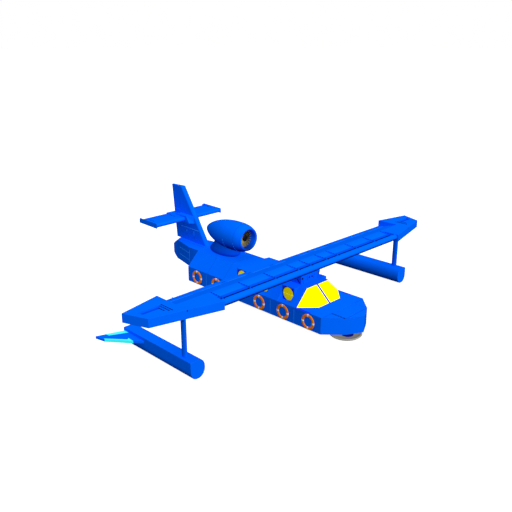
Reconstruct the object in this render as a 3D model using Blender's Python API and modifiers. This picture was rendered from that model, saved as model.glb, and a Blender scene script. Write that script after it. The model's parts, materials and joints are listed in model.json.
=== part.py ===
"""Flying boat with wing-tip floats: high wing, one ducted fan engine on a roof pylon, cruciform tail.

Metres, +Z up. X is to port, the bow points along -Y. The origin is on the floor, on the centre plane.
Every sub-part is one object. Moving pieces have their origin on their hinge or shaft.
"""

import math

import bmesh
import bpy
from mathutils import Matrix, Vector

# Driving dimensions
HALF_BEAM = 1.42
KEEL_Z = 0.41
RAIL_Z = 1.11
DECK_Z = 1.16
ROOF_Z = 1.83
STERN_Y = 3.33
CHINE_Y = -5.14
BOW_Y = -6.26
WALL = 0.08
SKIN = 0.06
FIT = 0.0004
RUN = 0.008
STATION = 1.42
FIRST_STATION_Y = -4.48

# Windscreen and roof
SCREEN_CORNER_Y = -3.79
SCREEN_FOOT = (0.71, -4.46)
SCREEN_HEAD = (0.70, -3.73)
ROOF_HALF = 0.75
SCREEN_THICK = 0.04
SCREEN_RIM = 0.04
SCREEN_BAR = 0.05
MULLION_HALF = 0.03

# Portholes
PORT_X = 1.065
PORT_Z = 1.473
PORT_TOP = 1.808
PORT_Y = 0.04
PORT_RADIUS = 0.30
DORMER_HALF = 0.355
CHEEK = 0.03
PORT_STATIONS = (1, 2, 3)

# Wing
WING_Z = 2.54
WING_TOP = 2.866
CREST_Y = -3.05
NOSE_REACH = 0.61
TUBE_RADIUS = 0.142
TUBE_Y = -3.862
TUBE_Z = 2.709
HINGE_Y = -2.24
HINGE_Z = 2.578
HINGE_RADIUS = 0.033
TRAIL_Y = -1.93
TRAIL_THICK = 0.028
ROOT_HALF = 0.66
RIB_X = 2.64
RIB_HALF = 0.04
WING_HALF = 5.633
TIP_INNER_X = 7.076
TIP_REAR_Y = -1.921
TIP_Z = 2.512
BRACKET_X = (0.52, 1.28, 2.66, 4.06, 5.48)
BRACKET_HALF = 0.018

# Floats and struts
FLOAT_OUT_X = 7.065
FLOAT_IN_X = 6.385
FLOAT_TOP = 0.74
FLOAT_FRONT_Y = -3.74
FLOAT_REAR_Y = 0.54
STRUT_X = 6.873
STRUT_Y = -3.174
STRUT_HALF_CHORD = 0.142
STRUT_HALF_WIDTH = 0.071

# Engine
ENGINE_Z = 2.876
ENGINE_FRONT_Y = 0.47
ENGINE_LENGTH = 2.86
ENGINE_RADIUS = 0.705
DUCT_RADIUS = 0.45
MOUTH_RADIUS = 0.42
FAN_Y = 0.90
FAN_RADIUS = 0.43
BLADES = 20
HUB_RADIUS = 0.14
SHAFT_RADIUS = 0.06
SHAFT_LENGTH = 0.50

# Tail
TAIL_HALF = 0.75
TAIL_TIP_HALF = 0.413
TAIL_FOLD_Y = (4.03, 5.371)
TAIL_REAR_Y = 5.93
TAIL_KEEL_Z = 0.79
FIN_HALF = 0.14
FIN_FOOT_Z = 1.862
FIN_TOP = 4.656
FIN_TRAIL_HALF = 0.05
RUDDER_Y = 5.50
STAB_HALF = 2.116
STAB_Z = 2.954
STAB_TOP = 3.165
STAB_FRONT_Y = 4.79
STAB_REAR_Y = 6.26
ELEVATOR_Y = 5.84
ELEVATOR_RADIUS = 0.085
ELEVATOR_IN = 0.43
ELEVATOR_OUT = 2.02
FAIRING_HALF = 0.284

PIN_RADIUS = 0.018
PIN_LENGTH = 0.03
PIN_SIDES = 24
PIN_GAP = 0.0006

SIDES = (("port", 1), ("starboard", -1))


def clear_scene():
    for obj in list(bpy.data.objects):
        bpy.data.objects.remove(obj, do_unlink=True)
    for name in ("Flying boat", "Cutters"):
        bpy.context.scene.collection.children.link(bpy.data.collections.new(name))


def material(name, colour, roughness=0.4, metallic=0.0):
    mat = bpy.data.materials.new(name)
    mat.use_nodes = True
    shader = mat.node_tree.nodes["Principled BSDF"]
    shader.inputs["Base Color"].default_value = (*colour, 1.0)
    shader.inputs["Roughness"].default_value = roughness
    shader.inputs["Metallic"].default_value = metallic
    return mat


def add(name, bm, mat, helper=False):
    """Turns a bmesh into an object, in the model's collection or among the cutters."""
    bmesh.ops.recalc_face_normals(bm, faces=bm.faces)
    mesh = bpy.data.meshes.new(name)
    bm.to_mesh(mesh)
    bm.free()
    obj = bpy.data.objects.new(name, mesh)
    if mat:
        mesh.materials.append(mat)
    mesh.shade_smooth()
    mesh.set_sharp_from_angle(angle=math.radians(35))
    bpy.data.collections["Cutters" if helper else "Flying boat"].objects.link(obj)
    obj.hide_render = helper
    if helper:
        obj.display_type = "WIRE"
    return obj


def box(name, low, high, mat=None, helper=False):
    bm = bmesh.new()
    bmesh.ops.create_cube(bm, size=1.0)
    low, high = Vector(low), Vector(high)
    size = high - low
    bmesh.ops.scale(bm, vec=size, verts=bm.verts)
    bmesh.ops.translate(bm, vec=(low + high) / 2, verts=bm.verts)
    return add(name, bm, mat, helper)


AXIS_TURN = {
    "X": Matrix(((0, 0, 1), (1, 0, 0), (0, 1, 0))),
    "Y": Matrix(((1, 0, 0), (0, 0, 1), (0, 1, 0))),
    "Z": Matrix.Identity(3),
}


def prism(name, outline, start, end, along="Z", mat=None, helper=False):
    """Extrudes an outline. Its points are (y, z) along X, (x, z) along Y and (x, y) along Z."""
    bm = bmesh.new()
    turn = AXIS_TURN[along]
    face = bm.faces.new([bm.verts.new(turn @ Vector((a, b, start))) for a, b in outline])
    grown = bmesh.ops.extrude_face_region(bm, geom=[face])
    verts = [item for item in grown["geom"] if isinstance(item, bmesh.types.BMVert)]
    bmesh.ops.translate(bm, vec=turn @ Vector((0, 0, end - start)), verts=verts)
    return add(name, bm, mat, helper)


def rod(name, centre, radius, start, end, along, sides=PIN_SIDES, mat=None, helper=False):
    """A round bar from start to end along an axis; centre holds the two other coordinates."""
    outline = [
        (
            centre[0] + radius * math.cos(math.tau * i / sides),
            centre[1] + radius * math.sin(math.tau * i / sides),
        )
        for i in range(sides)
    ]
    return prism(name, outline, start, end, along, mat, helper)


def arc(centre, radius, first, last, steps):
    """Points on an arc, in degrees from the first axis towards the second."""
    turns = [math.radians(first + (last - first) * i / steps) for i in range(steps + 1)]
    return [(centre[0] + radius * math.cos(t), centre[1] + radius * math.sin(t)) for t in turns]


def solid_of_points(name, points, mat=None, helper=False):
    bm = bmesh.new()
    for point in points:
        bm.verts.new(point)
    bmesh.ops.convex_hull(bm, input=bm.verts)
    return add(name, bm, mat, helper)


def loft(name, rings, mat=None, helper=False):
    """Joins rings of equal length, from the first to the last, and closes both ends."""
    bm = bmesh.new()
    rows = [[bm.verts.new(point) for point in ring] for ring in rings]
    count = len(rows[0])
    for low, high in zip(rows, rows[1:]):
        for i in range(count):
            j = (i + 1) % count
            bm.faces.new((low[i], low[j], high[j], high[i]))
    bm.faces.new(rows[0][::-1])
    bm.faces.new(rows[-1])
    return add(name, bm, mat, helper)


def turned(name, profile, centre, sides, mat=None, helper=False, ring=False):
    """Turns a profile of (radius, y) points about a fore-and-aft axis, with a Screw modifier."""
    mesh = bpy.data.meshes.new(name)
    points = [(radius, 0.0, -y) for radius, y in profile]
    edges = [(i, i + 1) for i in range(len(points) - 1)]
    if ring:
        edges.append((len(points) - 1, 0))
    mesh.from_pydata(points, edges, [])
    obj = bpy.data.objects.new(name, mesh)
    bpy.data.collections["Cutters" if helper else "Flying boat"].objects.link(obj)
    obj.location = centre
    obj.rotation_euler = (math.radians(90), 0, 0)
    screw = obj.modifiers.new("Turn", "SCREW")
    screw.steps = sides
    screw.render_steps = sides
    screw.use_merge_vertices = True
    screw.merge_threshold = 0.0001
    screw.use_normal_calculate = True
    obj.hide_render = helper
    if helper:
        obj.display_type = "WIRE"
    if mat:
        mesh.materials.append(mat)
    return obj


def frozen(obj):
    """Replaces an object's mesh by what its modifiers make, with the faces pointing out."""
    bpy.context.view_layer.update()
    graph = bpy.context.evaluated_depsgraph_get()
    made = bpy.data.meshes.new_from_object(obj.evaluated_get(graph))
    bm = bmesh.new()
    bm.from_mesh(made)
    bmesh.ops.remove_doubles(bm, verts=bm.verts, dist=0.00001)
    bmesh.ops.recalc_face_normals(bm, faces=bm.faces)
    bm.to_mesh(made)
    bm.free()
    obj.modifiers.clear()
    obj.data = made
    return obj


def boolean(target, other, operation):
    other.hide_render = True
    other.display_type = "WIRE"
    step = target.modifiers.new(other.name, "BOOLEAN")
    step.object = other
    step.operation = operation
    step.solver = "EXACT"
    return target


def cut(target, *cutters):
    for cutter in cutters:
        boolean(target, cutter, "DIFFERENCE")
    return target


def unite(target, *others):
    cutters = bpy.data.collections["Cutters"]
    for other in others:
        boolean(target, other, "UNION")
        if other.name not in cutters.objects:
            cutters.objects.link(other)
            bpy.data.collections["Flying boat"].objects.unlink(other)
    return target


def mirrored(points):
    return list(points) + [(-x, y) for x, y in reversed(points) if abs(x) > 1e-6]


def nose_plan(inset=0.0):
    """Half of the hull's plan, from the chine corner to the stem."""
    corner = inset * math.tan(math.radians(22.5))
    return [
        (HALF_BEAM - inset, CHINE_Y + corner),
        (HALF_BEAM / 2 - corner / 2, CHINE_Y - 0.74 + inset * 1.2),
        (0.0, BOW_Y + inset * 1.15),
    ]


def make_hull(blue):
    outer = mirrored([(HALF_BEAM, STERN_Y)] + nose_plan())
    inner = mirrored([(HALF_BEAM - WALL, STERN_Y - WALL)] + nose_plan(WALL))
    hull = prism("hull_shell", outer, KEEL_Z, RAIL_Z - FIT, "Z", blue)
    cut(hull, prism("hull_space", inner, KEEL_Z + WALL, DECK_Z + 1, "Z", helper=True))


HATCH_HALF = 0.71
HATCH_FRONT_Y = -5.848
HATCH_PIVOT_Y = -5.212
HATCH_THICK = 0.029
HATCH_PIN_LENGTH = 0.03
LEDGE = 0.07


def make_foredeck(blue):
    """Deck round the bow, open below a flush lid that lies on a ledge and turns on its rear edge."""
    rear = SCREEN_CORNER_Y + SCREEN_RIM - FIT
    back = [(SCREEN_FOOT[0] - 0.05, SCREEN_FOOT[1] + 0.10), (HALF_BEAM - 0.09, rear), (HALF_BEAM, rear)]
    deck = prism("foredeck", mirrored(back + nose_plan()), RAIL_Z, DECK_Z, "Z", blue)
    radius = HATCH_THICK / 2
    pivot_z = DECK_Z - radius - FIT
    floor_z = pivot_z - radius - FIT
    hinge = (HATCH_PIVOT_Y, pivot_z)
    wide = HATCH_HALF + RUN
    recess = box(
        "hatch_recess",
        (-wide, HATCH_FRONT_Y - RUN, floor_z),
        (wide, HATCH_PIVOT_Y + radius + RUN, DECK_Z + 0.1),
        helper=True,
    )
    opening = box(
        "hatch_opening",
        (-HATCH_HALF + LEDGE, HATCH_FRONT_Y + LEDGE, RAIL_Z - 0.1),
        (HATCH_HALF - LEDGE, HATCH_PIVOT_Y - LEDGE, floor_z + 0.01),
        helper=True,
    )
    groove = rod("hatch_groove", hinge, radius + 0.006, -wide, wide, "X", helper=True)
    reach = wide + HATCH_PIN_LENGTH
    hole_radius = PIN_RADIUS / 2 + PIN_GAP
    holes = rod("hatch_pin_holes", hinge, hole_radius, -reach - 0.002, reach + 0.002, "X", helper=True)
    cut(deck, recess, opening, groove, holes)
    lid = box(
        "bow_hatch",
        (-HATCH_HALF, HATCH_FRONT_Y, pivot_z - radius),
        (HATCH_HALF, HATCH_PIVOT_Y, pivot_z + radius),
        blue,
    )
    barrel = rod("hatch_barrel", hinge, radius, -HATCH_HALF, HATCH_HALF, "X", sides=16, helper=True)
    pin = rod("hatch_pin", hinge, PIN_RADIUS / 2, -reach, reach, "X", helper=True)
    unite(lid, barrel, pin)


def screen_points():
    """Corner, foot and head of the windscreen on the port side, and the same with X turned round."""
    corner = Vector((HALF_BEAM, SCREEN_CORNER_Y, DECK_Z))
    foot = Vector((*SCREEN_FOOT, DECK_Z))
    head = Vector((*SCREEN_HEAD, ROOF_Z))
    return corner, foot, head


def across(point, s):
    return Vector((s * point.x, point.y, point.z))


def facet_normals():
    """Outward normals of the windscreen's front facet and of its port corner facet."""
    corner, foot, head = screen_points()
    front = (head - foot).cross(Vector((1, 0, 0))).normalized()
    side = (corner - foot).cross(head - foot).normalized()
    return [n if n.y < 0 else -n for n in (front, side)]


def pane_points(inset, depth):
    """Centre foot and head, fold foot and head, and outer foot of a pane, at a depth below its face."""
    corner, foot, head = screen_points()
    front, side = facet_normals()
    rise = ROOF_Z - DECK_Z
    sill, crown = DECK_Z + 0.006 + inset, ROOF_Z - 0.006 - inset
    low = foot.lerp(head, (sill - DECK_Z) / rise)
    high = foot.lerp(head, (crown - DECK_Z) / rise)
    out = high + (corner - head) * (crown - sill) / rise
    back = -depth / front.y
    down = -depth / front.z
    low += Vector(((-depth - side.y * back) / side.x, back, 0))
    high += Vector(((-depth - side.z * down) / side.x, 0, down))
    out += Vector((-depth / side.x, 0, 0))
    middle = MULLION_HALF + inset
    return Vector((middle, low.y, low.z)), Vector((middle, high.y, high.z)), low, high, out


def pane_solid(name, s, inset, outer, inner, mat=None):
    """One side's pane: half of the front facet and the corner facet, joined along the fold."""
    solids = []
    for part, picks, normal in zip(("front", "side"), ((0, 1, 2, 3), (2, 3, 4)), facet_normals()):
        face = pane_points(inset, max(outer, 0.0))
        deep = pane_points(inset, inner)
        lift = normal * max(0.0, -outer)
        points = [across(layer[i], s) for layer in (face, deep) for i in picks]
        if outer < 0:
            points += [across(face[i] + lift, s) for i in picks]
        main = part == "front"
        tag = name if main else f"{name}_{part}"
        solids.append(solid_of_points(tag, points, mat if main else None, helper=not (mat and main)))
    unite(solids[0], solids[1])
    return solids[0]


def make_windscreen(blue, glass):
    """A frame with a centre bar and two openings, and a bent pane let into each side of it."""
    corner, foot, head = screen_points()
    outer = [p + Vector((0, 0, FIT)) for p in (corner, foot, head)]
    outer[2].z = ROOF_Z
    outer += [p + Vector((0, SCREEN_RIM - FIT, 0)) for p in (outer[0], outer[2])]
    frame = solid_of_points("windscreen_frame", [across(p, s) for p in outer for s in (1, -1)], blue)
    deep = [p + Vector((0, 0.10, -0.075)) for p in (corner, foot, head)]
    deep += [p + Vector((0, 0.3, 0)) for p in deep]
    deep += [p - Vector((0, 0, 0.3)) for p in deep]
    corners = [across(p, s) for p in deep for s in (1, -1)]
    cut(frame, solid_of_points("windscreen_space", corners, helper=True))
    for side, s in SIDES:
        cut(frame, pane_solid("screen_opening_" + side, s, SCREEN_BAR, -0.1, 0.2))
        cut(frame, pane_solid("screen_seat_" + side, s, -0.0006, -0.1, SCREEN_THICK + 0.0006))
        pane_solid("windscreen_pane_" + side, s, 0.0, 0.001, SCREEN_THICK, glass)


def make_cabin_side(side, s, blue, glass):
    """Sloped side plate with a foot, and an upright housing round each porthole."""
    slope = HALF_BEAM + DECK_Z
    thick = SKIN * math.sqrt(2)
    edge = ROOF_HALF + FIT
    plate = [
        (HALF_BEAM, RAIL_Z),
        (HALF_BEAM, DECK_Z),
        (edge, slope - edge),
        (edge, slope - thick - edge),
        (HALF_BEAM - thick, DECK_Z),
        (HALF_BEAM - thick, RAIL_Z),
    ]
    front = SCREEN_CORNER_Y + SCREEN_RIM
    outline = [(s * x, z) for x, z in plate]
    panel = prism("cabin_side_" + side, outline, front, STERN_Y - SKIN - FIT, "Y", blue)
    lean = (SCREEN_HEAD[1] - SCREEN_CORNER_Y) / (ROOF_Z - DECK_Z)
    for vert in panel.data.vertices:
        if vert.co.y < front + 0.01:
            vert.co.y += FIT + lean * max(0.0, vert.co.z - DECK_Z)
    housing = [
        (edge, RAIL_Z + 0.001),
        (HALF_BEAM - 0.001, RAIL_Z + 0.001),
        (HALF_BEAM - 0.001, DECK_Z),
        (PORT_X, slope - PORT_X),
        (PORT_X, PORT_TOP),
        (edge, ROOF_Z),
    ]
    clear = DORMER_HALF - CHEEK
    for station in PORT_STATIONS:
        y = FIRST_STATION_Y + STATION * station + PORT_Y
        tag = f"{side}_{station}"
        gap = box(
            "side_gap_" + tag,
            (min(s * 0.7, s * 1.5), y - clear, DECK_Z + 0.01),
            (max(s * 0.7, s * 1.5), y + clear, ROOF_Z + 0.2),
            helper=True,
        )
        cut(panel, gap)
        block = prism(
            "housing_" + tag,
            [(s * x, z) for x, z in housing],
            y - DORMER_HALF,
            y + DORMER_HALF,
            "Y",
            helper=True,
        )
        inside = (s * 0.6, s * (PORT_X - 0.05))
        outside = (s * PORT_X, s * 1.6)
        cut(
            block,
            box(
                "housing_space_" + tag,
                (min(inside), y - clear, RAIL_Z - 0.1),
                (max(inside), y + clear, PORT_TOP - 0.03),
                helper=True,
            ),
            box(
                "housing_notch_" + tag,
                (min(outside), y - clear, DECK_Z + 0.012),
                (max(outside), y + clear, ROOF_Z + 0.1),
                helper=True,
            ),
            rod(
                "housing_hole_" + tag,
                (y, PORT_Z),
                PORT_RADIUS + FIT,
                s * 0.9,
                s * 1.2,
                "X",
                sides=32,
                helper=True,
            ),
        )
        unite(panel, block)
        rod(
            f"porthole_pane_{side}_{station}",
            (y, PORT_Z),
            PORT_RADIUS,
            s * (PORT_X - 0.042),
            s * (PORT_X - 0.012),
            "X",
            sides=32,
            mat=glass,
        )


def make_roof(blue):
    box(
        "cabin_roof",
        (-ROOF_HALF, SCREEN_HEAD[1] + SCREEN_RIM + FIT, ROOF_Z - SKIN),
        (ROOF_HALF, STERN_Y - SKIN - FIT, ROOF_Z),
        blue,
    )
    outline = [
        (HALF_BEAM, RAIL_Z),
        (HALF_BEAM, DECK_Z),
        (ROOF_HALF, ROOF_Z),
        (-ROOF_HALF, ROOF_Z),
        (-HALF_BEAM, DECK_Z),
        (-HALF_BEAM, RAIL_Z),
    ]
    prism("transom", outline, STERN_Y - SKIN, STERN_Y, "Y", blue)


def make_life_rings(orange):
    for side, s in SIDES:
        for index in range(6):
            bm = bmesh.new()
            tube, depth, radius, turns, sides = 0.06, 0.034, 0.292, 22, 6
            for i in range(turns):
                spin = Matrix.Rotation(math.tau * i / turns, 4, "X")
                for j in range(sides):
                    angle = math.tau * (j + 0.5) / sides
                    offset = Vector((depth * math.cos(angle), radius + tube * math.sin(angle), 0))
                    bm.verts.new(spin @ offset)
            bm.verts.ensure_lookup_table()
            for i in range(turns):
                for j in range(sides):
                    k, n = (i + 1) % turns, (j + 1) % sides
                    bm.faces.new([bm.verts[a * sides + b] for a, b in ((i, j), (k, j), (k, n), (i, n))])
            flat = depth * math.cos(math.pi / sides)
            y = FIRST_STATION_Y + STATION * index
            bmesh.ops.translate(bm, vec=(s * (HALF_BEAM + flat + FIT), y, 0.77), verts=bm.verts)
            add(f"life_ring_{side}_{index + 1}", bm, orange)


def trailing_section(y_shift=0.0, gap=0.0):
    """Outline (y, z) of a wing flap: round nose on the hinge, thin straight trailing edge."""
    nose = arc((HINGE_Y, HINGE_Z), HINGE_RADIUS + gap, 90, 270, 8)
    tail_z = WING_Z + 0.004
    return nose + [(TRAIL_Y + y_shift, tail_z), (TRAIL_Y + y_shift, tail_z + TRAIL_THICK)]


WING_FLOOR = TUBE_Z - TUBE_RADIUS - FIT


def nose_arc(grow=0.0):
    """Rounded front of the wing, from its crest down to the floor below the tube: a quarter oval."""
    reach, rise = NOSE_REACH + grow, WING_TOP - WING_FLOOR + grow
    return [(CREST_Y + reach * x, WING_FLOOR + rise * z) for x, z in arc((0, 0), 1, 90, 180, 12)]


def make_wing(blue):
    section = nose_arc() + [
        (TUBE_Y, WING_FLOOR),
        (TUBE_Y, WING_Z),
        (TRAIL_Y, WING_Z),
        (TRAIL_Y, WING_Z + TRAIL_THICK + 0.004),
        (HINGE_Y - 0.04, 2.622),
    ]
    wing = prism("wing_panel", section, -WING_HALF + FIT, WING_HALF - FIT, "X", blue)
    for side, s in SIDES:
        for kind, inner, outer in (
            ("flap", ROOT_HALF, RIB_X - RIB_HALF),
            ("aileron", RIB_X + RIB_HALF, WING_HALF - FIT),
        ):
            name = f"{kind}_{side}"
            reach = (s * inner, s * (outer + 0.13 * (kind == "aileron")))
            pocket = [
                (HINGE_Y - HINGE_RADIUS - RUN, WING_Z - 0.05),
                (TRAIL_Y + 0.1, WING_Z - 0.05),
                (TRAIL_Y + 0.1, WING_TOP),
                (HINGE_Y - HINGE_RADIUS - RUN, WING_TOP),
            ]
            cut(wing, prism("pocket_" + name, pocket, reach[0], reach[1], "X", helper=True))
            start, end = inner + RUN, outer - RUN
            flap = prism(name, trailing_section(), s * start, s * end, "X", blue)
            pin = rod(
                "pin_" + name,
                (HINGE_Y, HINGE_Z),
                PIN_RADIUS,
                s * (start - RUN - PIN_LENGTH),
                s * (end + RUN + PIN_LENGTH),
                "X",
                helper=True,
            )
            unite(flap, pin)
    holes = rod(
        "wing_pin_holes",
        (HINGE_Y, HINGE_Z),
        PIN_RADIUS + PIN_GAP,
        -WING_HALF - 0.1,
        WING_HALF + 0.1,
        "X",
        helper=True,
    )
    cut(wing, holes)


def make_leading_tube(blue):
    end = WING_HALF - FIT
    tube = rod("leading_edge_tube", (TUBE_Y, TUBE_Z), TUBE_RADIUS, -end, end, "X", sides=24, mat=blue)
    below = WING_FLOOR - 0.1
    seat = nose_arc(0.001) + [(CREST_Y - NOSE_REACH - 0.001, below), (CREST_Y, below)]
    stop = prism("bracket_seat", seat, -WING_HALF, WING_HALF, "X", helper=True)
    strap = [
        (TUBE_Y, TUBE_Z),
        (TUBE_Y - 0.09, TUBE_Z + 0.09),
        (TUBE_Y - 0.07, TUBE_Z + 0.15),
        (CREST_Y - 0.02, WING_TOP + 0.012),
        (CREST_Y - 0.02, WING_TOP - 0.022),
        (TUBE_Y + 0.06, TUBE_Z + 0.115),
    ]
    for side, s in SIDES:
        for index, x in enumerate(BRACKET_X):
            start, end = s * x - BRACKET_HALF, s * x + BRACKET_HALF
            unite(tube, prism(f"bracket_{side}_{index}", strap, start, end, "X", helper=True))
    cut(tube, stop)


def make_wing_tip(side, s, blue):
    """Swept tip block, with the outer end of the wing's sloping panel behind it."""
    outline = [
        (WING_HALF, -4.06),
        (8.50, -3.36),
        (8.885, -2.339),
        (TIP_INNER_X, TIP_REAR_Y),
        (TIP_INNER_X, CREST_Y),
        (WING_HALF, CREST_Y),
    ]
    tip = prism("wing_tip_" + side, [(s * x, y) for x, y in outline], TIP_Z, WING_TOP, "Z", blue)
    wedge = [
        (CREST_Y - 0.01, WING_Z + 0.0002),
        (TRAIL_Y, WING_Z + 0.0002),
        (TRAIL_Y, WING_Z + TRAIL_THICK),
        (HINGE_Y - 0.04, 2.622),
        (CREST_Y - 0.01, WING_TOP - 0.0002),
    ]
    outer = prism("tip_wedge_" + side, wedge, s * WING_HALF, s * (TIP_INNER_X + 0.01), "X", helper=True)
    unite(tip, outer)
    well = [(8.50, -2.69), (8.42, -2.95), (7.73, -2.95), (7.55, -2.67)]
    trough = prism(
        "tip_trough_" + side,
        [(s * x, y) for x, y in well],
        WING_TOP - 0.07,
        WING_TOP + 0.1,
        "Z",
        helper=True,
    )
    hole = rod(
        "tip_pin_hole_" + side,
        (HINGE_Y, HINGE_Z),
        PIN_RADIUS + PIN_GAP,
        s * (WING_HALF - 0.1),
        s * (WING_HALF + 0.1),
        "X",
        helper=True,
    )
    cut(tip, trough, hole)


def make_wing_pylon(blue):
    """Block between roof and wing, slightly narrower and shorter at its foot."""
    rings = []
    levels = (
        (0.56, -3.31, ROOF_Z + FIT),
        (0.62, -3.36, ROOF_Z + 0.35),
        (0.62, -3.36, WING_Z - FIT),
    )
    for half, front, z in levels:
        rings.append([(half, front, z), (half, -2.02, z), (-half, -2.02, z), (-half, front, z)])
    loft("wing_pylon", rings, blue)


def ellipse(centre, half_x, half_y, z, count=24):
    return [
        (
            centre[0] + half_x * math.cos(math.tau * i / count),
            centre[1] + half_y * math.sin(math.tau * i / count),
            z,
        )
        for i in range(count)
    ]


FLOAT_SECTION = (
    (FLOAT_OUT_X, FLOAT_TOP),
    (6.61, FLOAT_TOP),
    (6.53, 0.71),
    (6.45, 0.63),
    (6.40, 0.51),
    (FLOAT_IN_X, 0.37),
    (6.405, 0.24),
    (6.46, 0.13),
    (6.54, 0.05),
    (6.65, 0.0),
    (6.82, 0.0),
    (6.93, 0.05),
    (7.01, 0.14),
    (7.053, 0.25),
    (FLOAT_OUT_X, 0.35),
)
FLOAT_FIN = ((FLOAT_OUT_X, -0.87), (FLOAT_OUT_X, 0.47), (8.19, 0.85), (8.08, 0.37))
FLOAT_FIN_Z = (0.50, 0.61)


def make_float(side, s, blue):
    section = FLOAT_SECTION
    body = prism(
        "float_" + side, [(s * x, z) for x, z in section], FLOAT_FRONT_Y, FLOAT_REAR_Y, "Y", blue
    )
    corner = [
        (FLOAT_IN_X - 0.1, FLOAT_REAR_Y - 0.55),
        (FLOAT_IN_X + 0.34, FLOAT_REAR_Y + 0.02),
        (FLOAT_IN_X + 0.34, FLOAT_REAR_Y + 0.2),
        (FLOAT_IN_X - 0.1, FLOAT_REAR_Y + 0.2),
    ]
    cut(body, prism("float_corner_" + side, [(s * x, y) for x, y in corner], -0.1, 1.0, "Z", helper=True))
    rings = [
        ellipse((s * STRUT_X, STRUT_Y), STRUT_HALF_WIDTH, STRUT_HALF_CHORD, z, 20)
        for z in (FLOAT_TOP + FIT, TIP_Z - FIT)
    ]
    loft("strut_" + side, rings, blue)
    prism(
        "float_fin_" + side,
        [(s * (x + FIT), y) for x, y in FLOAT_FIN],
        *FLOAT_FIN_Z,
        "Z",
        blue,
    )


def make_bow_skid(beige, navy):
    centre = (0.0, -5.35)
    disc = [
        ellipse(centre, r, r, z, 32)
        for r, z in ((0.50, 0.0), (0.66, 0.03), (0.71, 0.075), (0.69, 0.11), (0.60, 0.12), (0.30, 0.13))
    ]
    loft("bow_skid_dish", disc, beige)
    foot = (0.0, -5.42)
    post = [ellipse(foot, 0.22, 0.22, z, 20) for z in (0.13 + FIT, KEEL_Z - FIT)]
    loft("bow_skid_post", post, navy)


def nacelle_radius(t, grow=0.0):
    """Outer radius at a share t of the nacelle's length: part of one slightly pointed oval."""
    oval = 1.65
    return ENGINE_RADIUS * (1 - abs((t - 0.387) / 0.648) ** oval) ** (1 / oval) + grow


def make_engine(blue, gold, steel):
    centre = (0.0, ENGINE_FRONT_Y, ENGINE_Z)
    steps = 12
    outside = [(nacelle_radius(i / steps), i / steps * ENGINE_LENGTH) for i in range(steps + 1)]
    lip_out, lip_in = outside[0][0], MOUTH_RADIUS
    lip_centre, lip = (lip_out + lip_in) / 2, (lip_out - lip_in) / 2
    mouth = [
        (lip_centre - lip * math.cos(math.pi * i / 6), -lip * math.sin(math.pi * i / 6)) for i in range(1, 6)
    ]
    inside = [(0.10, ENGINE_LENGTH), (DUCT_RADIUS, 2.0), (DUCT_RADIUS, 0.3), (MOUTH_RADIUS, 0.0)]
    nacelle = turned("nacelle", outside + inside + mouth, centre, 36, blue, ring=True)
    frozen(nacelle)
    rod(
        "engine_core",
        (0.0, ENGINE_Z),
        DUCT_RADIUS - FIT,
        FAN_Y + 0.33,
        FAN_Y + 1.47,
        "Y",
        sides=36,
        mat=steel,
    )
    cut(
        bpy.data.objects["engine_core"],
        rod(
            "core_bore",
            (0.0, ENGINE_Z),
            SHAFT_RADIUS + PIN_GAP,
            FAN_Y,
            FAN_Y + SHAFT_LENGTH + 0.02,
            "Y",
            helper=True,
        ),
    )
    grown = [(nacelle_radius(i / steps, FIT), i / steps * ENGINE_LENGTH) for i in range(steps + 1)]
    keep_out = turned(
        "nacelle_seat",
        [(0.0, -0.2), (grown[0][0], -0.2)] + grown + [(0.0, ENGINE_LENGTH)],
        centre,
        36,
        helper=True,
    )
    frozen(keep_out)
    middle = (0.0, 2.15)
    rings = [
        ellipse(middle, 0.40, 0.77, ROOF_Z + FIT, 28),
        ellipse(middle, 0.49, 0.87, ROOF_Z + 0.12, 28),
        ellipse(middle, 0.52, 0.905, ROOF_Z + 0.26, 28),
        ellipse(middle, 0.52, 0.905, ENGINE_Z - 0.25, 28),
    ]
    pylon = loft("engine_pylon", rings, blue)
    cut(pylon, keep_out)
    make_fan(gold)


def make_fan(gold):
    """Spinner, hub, shaft and a ring of pitched blades, in one piece on the engine's axis."""
    profile = [
        (0.0, -0.22),
        (0.05, -0.20),
        (0.10, -0.13),
        (HUB_RADIUS, 0.0),
        (HUB_RADIUS, 0.16),
        (SHAFT_RADIUS, 0.16),
        (SHAFT_RADIUS, SHAFT_LENGTH),
        (0.0, SHAFT_LENGTH),
    ]
    fan = turned("fan", profile, (0.0, FAN_Y, ENGINE_Z), PIN_SIDES, gold)
    frozen(fan)
    bm = bmesh.new()
    chord, thick, pitch = 0.12, 0.014, math.radians(38)
    for i in range(BLADES):
        blade = bmesh.ops.create_cube(bm, size=1.0)["verts"]
        bmesh.ops.scale(bm, vec=(FAN_RADIUS - HUB_RADIUS + 0.03, thick, chord), verts=blade)
        bmesh.ops.rotate(bm, cent=(0, 0, 0), matrix=Matrix.Rotation(pitch, 3, "X"), verts=blade)
        reach = (FAN_RADIUS + HUB_RADIUS - 0.03) / 2
        bmesh.ops.translate(bm, vec=(reach, 0, -0.08), verts=blade)
        turn = Matrix.Rotation(math.tau * (i + 0.5) / BLADES, 3, "Z")
        bmesh.ops.rotate(bm, cent=(0, 0, 0), matrix=turn, verts=blade)
    blades = add("fan_blades", bm, gold, helper=True)
    blades.location = (0.0, FAN_Y, ENGINE_Z)
    blades.rotation_euler = (math.radians(90), 0, 0)
    unite(fan, blades)


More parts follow.
